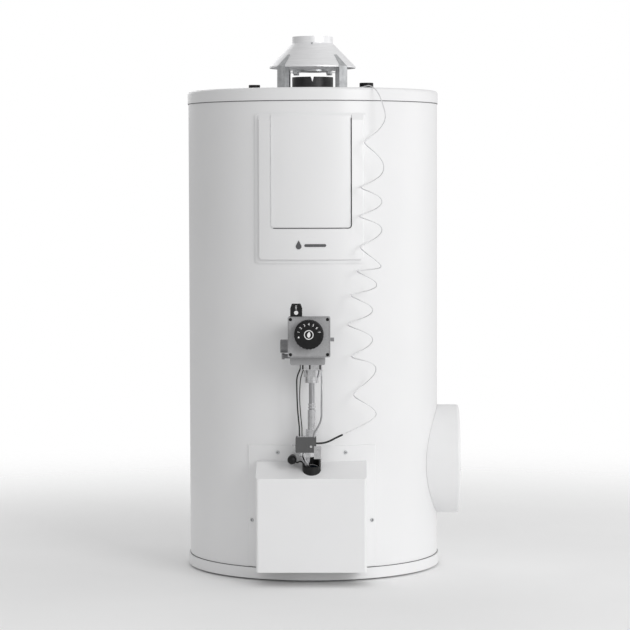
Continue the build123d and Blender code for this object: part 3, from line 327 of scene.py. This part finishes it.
def coil_points():
    """The stretched coil, half a turn at a time, every turn with its own pitch and size."""
    falls = turn_falls()
    points = []
    for index, (start, end) in enumerate(zip(TURNS, TURNS[1:])):
        side = 1 if index % 2 == 0 else -1
        for step in range(POINTS_PER_HALF_TURN):
            u = step / POINTS_PER_HALF_TURN
            x = (start[0] + end[0]) / 2 + (start[0] - end[0]) / 2 * cos(pi * u)
            ease = 3 * u ** 2 - 2 * u ** 3
            z = start[1] + (end[1] - start[1]) * ease
            z -= falls[index] * (u ** 3 - 2 * u ** 2 + u) + falls[index + 1] * (u ** 3 - u ** 2)
            points.append((x, depth_of_axis(z) + side * COIL_DEPTH * sin(pi * u), z))
    points.append((TURNS[-1][0], depth_of_axis(TURNS[-1][1]), TURNS[-1][1]))
    return points


def spline_curve(name, points, diameter):
    """One smooth open NURBS curve through control points given in millimetres."""
    data = bpy.data.curves.new(name, "CURVE")
    data.dimensions = "3D"
    data.resolution_u = 6
    spline = data.splines.new("NURBS")
    spline.points.add(len(points) - 1)
    for point, place in zip(spline.points, points):
        point.co = (*(c * MM for c in place), 1)
    spline.order_u = 3
    spline.use_endpoint_u = True
    data.bevel_depth = diameter / 2
    data.bevel_resolution = 4
    piece = bpy.data.objects.new(name, data)
    bpy.context.scene.collection.objects.link(piece)
    return piece


def make_lead(finishes):
    coil = coil_points()
    lead = spline_curve("sensor_lead", LEAD_TOP + coil + LEAD_BOTTOM + LEAD_SLEEVE[1:], LEAD_DIAMETER)
    lead.data.materials.append(finishes["lead_metal"])
    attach(lead, "heater")
    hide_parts("sensor_lead_top", "sensor_lead_coil", "sensor_lead_bottom")
    sleeve = spline_curve("lead_sleeve", LEAD_SLEEVE, 4.2 * MM)
    sleeve.data.materials.append(finishes["dark_sheath"])
    sleeve.data.use_fill_caps = True
    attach(sleeve, "heater")
    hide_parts("sensor_lead_sleeve")


# ---------------------------------------------------------------- small pieces

def new_piece(name, mesh, finish, body="heater", smooth=True):
    piece = bpy.data.objects.new(name, mesh)
    bpy.context.scene.collection.objects.link(piece)
    mesh.materials.clear()
    mesh.materials.append(FINISHES[finish])
    if smooth:
        mesh.shade_smooth()
    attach(piece, body)
    return piece


def solid_mesh(name, build):
    work = bmesh.new()
    build(work)
    bmesh.ops.recalc_face_normals(work, faces=work.faces)
    mesh = bpy.data.meshes.new(name)
    work.to_mesh(mesh)
    work.free()
    return mesh


def ring_of(work, section, turns=180, middle=(0, 0, 0)):
    """Sweep a closed section, radius and height in millimetres, round the Z axis."""
    rows = []
    for step in range(turns):
        angle = tau * step / turns
        rows.append([work.verts.new(((middle[0] + r * cos(angle)) * MM, (middle[1] + r * sin(angle)) * MM,
                                     (middle[2] + z) * MM)) for r, z in section])
    for row, following in zip(rows, rows[1:] + rows[:1]):
        for index in range(len(section)):
            after = (index + 1) % len(section)
            work.faces.new((row[index], row[after], following[after], following[index]))


def band(name, finish, inner, outer, low, high):
    edge = min(0.3, (outer - inner) / 3)
    section = [(inner, low), (outer - edge, low), (outer, low + edge), (outer, high - edge),
               (outer - edge, high), (inner, high)]
    new_piece(name, solid_mesh(name, lambda work: ring_of(work, section)), finish)


def bevelled_block(work, low, high, bevel):
    """A box from its low to its high corner in millimetres, with small bevels."""
    middle = [(a + b) / 2 * MM for a, b in zip(low, high)]
    size = [(b - a) * MM for a, b in zip(low, high)]
    place = Matrix.Translation(middle) @ Matrix.Diagonal((*size, 1))
    made = bmesh.ops.create_cube(work, size=1.0, matrix=place)
    edges = list({edge for vert in made["verts"] for edge in vert.link_edges})
    bmesh.ops.bevel(work, geom=edges, offset=bevel * MM, segments=2, profile=0.5, affect="EDGES")


def disc_towards(work, place, direction, radius, height, sides=32, bevel=0.3):
    """A short round bar whose foot is at place, in millimetres, standing along direction."""
    turn = Vector(direction).to_track_quat("Z", "Y").to_matrix().to_4x4()
    at = Matrix.Translation(Vector(place) * MM) @ turn @ Matrix.Translation((0, 0, height / 2 * MM))
    made = bmesh.ops.create_cone(work, cap_ends=True, segments=sides, radius1=radius * MM,
                                 radius2=radius * MM, depth=height * MM, matrix=at)
    if bevel:
        rims = {edge for vert in made["verts"] for edge in vert.link_edges
                if any(len(face.verts) > 4 for face in edge.link_faces)}
        bmesh.ops.bevel(work, geom=list(rims), offset=bevel * MM, segments=2, profile=0.5, affect="EDGES")


def flat_letters(body, size, extrude):
    """A number as a thin mesh in its own XY plane, its middle at the origin."""
    data = bpy.data.curves.new("digit", "FONT")
    data.body = body
    data.size = size * MM
    data.extrude = extrude / 2 * MM
    data.align_x = "CENTER"
    data.align_y = "CENTER"
    holder = bpy.data.objects.new("digit", data)
    bpy.context.scene.collection.objects.link(holder)
    mesh = bpy.data.meshes.new_from_object(holder.evaluated_get(bpy.context.evaluated_depsgraph_get()))
    bpy.data.objects.remove(holder)
    bpy.data.curves.remove(data)
    return mesh


def plate_from_outline(work, outline, thickness, place):
    """A thin plate facing the front: outline x and z in millimetres, its front thickness before place."""
    x, y, z = place
    front = [work.verts.new(((x + a) * MM, (y - thickness) * MM, (z + b) * MM)) for a, b in outline]
    back = [work.verts.new(((x + a) * MM, y * MM, (z + b) * MM)) for a, b in outline]
    work.faces.new(front)
    work.faces.new(list(reversed(back)))
    for index in range(len(outline)):
        after = (index + 1) % len(outline)
        work.faces.new((front[index], back[index], back[after], front[after]))


def flame_outline(height):
    """A plain flame: a rounded foot, a leaning tip."""
    points = []
    for step in range(24):
        angle = tau * step / 24
        lift = (1 + cos(angle)) / 2
        width = 0.34 * height * sin(angle) * (1 - 0.55 * lift ** 1.5)
        points.append((width + 0.10 * height * lift ** 3, height * (lift ** 0.8 - 0.5)))
    return points


DIAL_CENTRE = (-3.0, -401.8, 534.0)
DIAL_MARK = 0.4
NUMERAL_RADIUS = 21.6
NUMERAL_SIZE = 7.6
NUMERAL_STEP = 25.0           # degrees from one number to the next


def ring_facing_front(work, place, outer, inner, thickness, sides=64):
    x, y, z = place
    loops = []
    for radius, depth in ((outer, 0), (outer, thickness), (inner, thickness), (inner, 0)):
        loops.append([work.verts.new(((x + radius * cos(tau * i / sides)) * MM, (y - depth) * MM,
                                      (z + radius * sin(tau * i / sides)) * MM)) for i in range(sides)])
    for here, there in zip(loops, loops[1:] + loops[:1]):
        for i in range(sides):
            after = (i + 1) % sides
            work.faces.new((here[i], here[after], there[after], there[i]))


def make_dial():
    """Numbers round the knob, a small mark for off, and a plain flame in a ring at its middle."""
    work = bmesh.new()
    x, y, z = DIAL_CENTRE
    for index in range(7):
        angle = 75 - NUMERAL_STEP * index
        mesh = flat_letters(str(index + 1), NUMERAL_SIZE, DIAL_MARK)
        out = (x + NUMERAL_RADIUS * sin(radians(-angle)), y - DIAL_MARK / 2,
               z + NUMERAL_RADIUS * cos(radians(angle)))
        mesh.transform(Matrix.Translation(Vector(out) * MM) @ Matrix.Rotation(radians(-angle), 4, "Y")
                       @ Matrix.Rotation(radians(90), 4, "X"))
        work.from_mesh(mesh)
        bpy.data.meshes.remove(mesh)
    off = radians(104)
    disc_towards(work, (x - NUMERAL_RADIUS * sin(off), y, z + NUMERAL_RADIUS * cos(off)), (0, -1, 0), 1.7,
                 DIAL_MARK, 20, 0)
    ring_facing_front(work, DIAL_CENTRE, 9.8, 8.2, DIAL_MARK)
    plate_from_outline(work, flame_outline(12.0), DIAL_MARK, DIAL_CENTRE)
    bmesh.ops.recalc_face_normals(work, faces=work.faces)
    mesh = bpy.data.meshes.new("dial_print")
    work.to_mesh(mesh)
    work.free()
    dial = new_piece("dial_print", mesh, "white_print", "temperature_knob", smooth=False)
    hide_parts("knob_dial_marks")


SCREWS = ((72.0, 276.0), (-72.0, 276.0), (128.0, 129.0), (-128.0, 129.0))
FLANGE_RADIUS = 277.2         # outside of the burner cover's flange
SCREW_HEAD = 2.4
CROSS_LENGTH = 3.6
CROSS_WIDTH = 0.8
CROSS_DEPTH = 0.3


def make_screw_crosses():
    def build(work):
        for x, z in SCREWS:
            y = -(FLANGE_RADIUS ** 2 - x ** 2) ** 0.5
            out = Vector((x, y, 0)).normalized()
            at = out * (FLANGE_RADIUS + SCREW_HEAD) + Vector((0, 0, z))
            turn = out.to_track_quat("Z", "Y").to_matrix().to_4x4()
            for across, up in ((CROSS_LENGTH, CROSS_WIDTH), (CROSS_WIDTH, CROSS_LENGTH)):
                size = Matrix.Diagonal((across * MM, up * MM, CROSS_DEPTH * MM, 1))
                bmesh.ops.create_cube(work, size=1.0, matrix=Matrix.Translation(at * MM) @ turn @ size)
    new_piece("screw_crosses", solid_mesh("screw_crosses", build), "black_screw", smooth=False)


def make_valve_details():
    """The outlet flange under the gas valve, with three black strips along its front: painted shade standing
    for its shaded slots.
    """
    def flange(work):
        bevelled_block(work, (-21, -349, 457.5), (24, -346, 470.5), 0.8)
        bevelled_block(work, (-14, -343, 456.2), (17, -301, 467.9), 1.2)
    new_piece("valve_outlet_flange", solid_mesh("valve_outlet_flange", flange), "chromed_brass", smooth=False)

    # Painted shade: black strips just proud of the flange's front, where its slots are in shade
    def slots(work):
        for x in (-16.5, -2.0, 19.5):
            bevelled_block(work, (x - 1.6, -349.8, 458.5), (x + 1.6, -348.6, 469.5), 0.3)
    new_piece("valve_outlet_slot_shade", solid_mesh("valve_outlet_slot_shade", slots), "black_screw", smooth=False)


def make_block_details():
    """Two thin tubes with small nuts from the block into the shroud, and the igniter's lead."""
    routes = {
        "pilot_feed_tube": [(-21, -333, 284), (-21, -333, 276), (-17, -325, 264), (-10, -312, 254),
                            (-8, -306, 240)],
        "thermocouple_tube": [(-14, -335, 284), (-14, -335, 277), (-12, -329, 266), (-4, -316, 255),
                              (-3, -308, 240)],
        "ignition_lead": [(-35.6, -290, 261.2), (-31.5, -296, 256), (-24, -303, 262), (-15, -307, 258),
                          (-11, -303, 240)],
    }
    finishes = {"pilot_feed_tube": "steel_tube", "thermocouple_tube": "chromed_brass",
                "ignition_lead": "dark_sheath"}
    for name, route in routes.items():
        tube = spline_curve(name, route, 3.4 * MM)
        tube.data.materials.append(FINISHES[finishes[name]])
        tube.data.use_fill_caps = True
        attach(tube, "heater")

    def nuts(work):
        for x, y, z in ((-21, -333, 277), (-14, -335, 275)):
            disc_towards(work, (x, y, z), (0, 0, 1), 3.6, 6.5, 6, 0.3)
    new_piece("block_tube_nuts", solid_mesh("block_tube_nuts", nuts), "chromed_brass", smooth=False)


# Painted shade: a dark strip in the groove round the recess of the front panel, along its right side and its
# foot
SHADE_STRIP_TOP = 983.0
SHADE_STRIP_RIGHT = 86.3
SHADE_STRIP_FOOT = 750.2
SHADE_STRIP_CORNER = 7.8
SHADE_STRIP_WIDTH = 1.8
SHADE_STRIP_RADIUS = 276.85
SHADE_STRIP_THICKNESS = 1.1
SHADE_STRIP_SIDE_STEP = 11.3
SHADE_STRIP_FOOT_STEP = 14.4


def shade_strip(work, outline, radius, thickness):
    """A thin strip on the casing's round front, between outline points given across and up."""
    rings = []
    for x, z in outline:
        for depth in (radius, radius + thickness):
            rings.append(work.verts.new((x * MM, -(depth ** 2 - x ** 2) ** 0.5 * MM, z * MM)))
    count = len(outline)
    for index in range(count):
        after = (index + 1) % count
        work.faces.new((rings[2 * index], rings[2 * after], rings[2 * after + 1], rings[2 * index + 1]))
    middle = count // 2
    for index in range(middle - 1):
        other = count - 1 - index
        for side in (0, 1):
            work.faces.new([rings[2 * k + side] for k in (index, index + 1, other - 1, other)])


def shade_strip_edge(inset):
    """Down the recess's right side, round its corner and along its foot, across and up."""
    middle_x, middle_z = SHADE_STRIP_RIGHT - SHADE_STRIP_CORNER, SHADE_STRIP_FOOT + SHADE_STRIP_CORNER
    radius = SHADE_STRIP_CORNER - inset
    edge = [(SHADE_STRIP_RIGHT - inset, SHADE_STRIP_TOP - SHADE_STRIP_SIDE_STEP * step) for step in range(20)]
    edge += [(middle_x + radius * cos(radians(angle)), middle_z - radius * sin(radians(angle)))
             for angle in range(0, 91, 15)]
    edge += [(middle_x - SHADE_STRIP_FOOT_STEP * step, SHADE_STRIP_FOOT + inset) for step in range(1, 12)]
    return edge


def make_painted_recess_shade():
    """Painted shade: a dark strip along the right side and the foot of the panel's recess, round its corner,
    where the recess is shaded.
    """
    outline = shade_strip_edge(0) + shade_strip_edge(SHADE_STRIP_WIDTH)[::-1]
    mesh = solid_mesh("panel_recess_painted_shade",
                      lambda work: shade_strip(work, outline, SHADE_STRIP_RADIUS, SHADE_STRIP_THICKNESS))
    # painted shade: the strip is dark grey only where the recess walls are in shade
    new_piece("panel_recess_painted_shade", mesh, "badge_grey", smooth=False)


CASING_RADIUS = 275.0


def make_details():
    make_painted_recess_shade()
    # Painted shade: a dark ring just under the lid, standing for the shaded gap below its rim
    band("lid_painted_shade_ring", "badge_grey", CASING_RADIUS, CASING_RADIUS + 1.0, 1019.4, 1020.9)
    # Painted shade: a dark ring just above the base pan, standing for the shaded seam there
    band("base_painted_shade_ring", "badge_grey", CASING_RADIUS, CASING_RADIUS + 1.2, 27.0, 28.3)
    make_dial()
    make_screw_crosses()
    make_valve_details()
    make_block_details()


make_camera()
make_world()
FINISHES = make_finishes()
make_lead(FINISHES)
make_details()
make_stage()
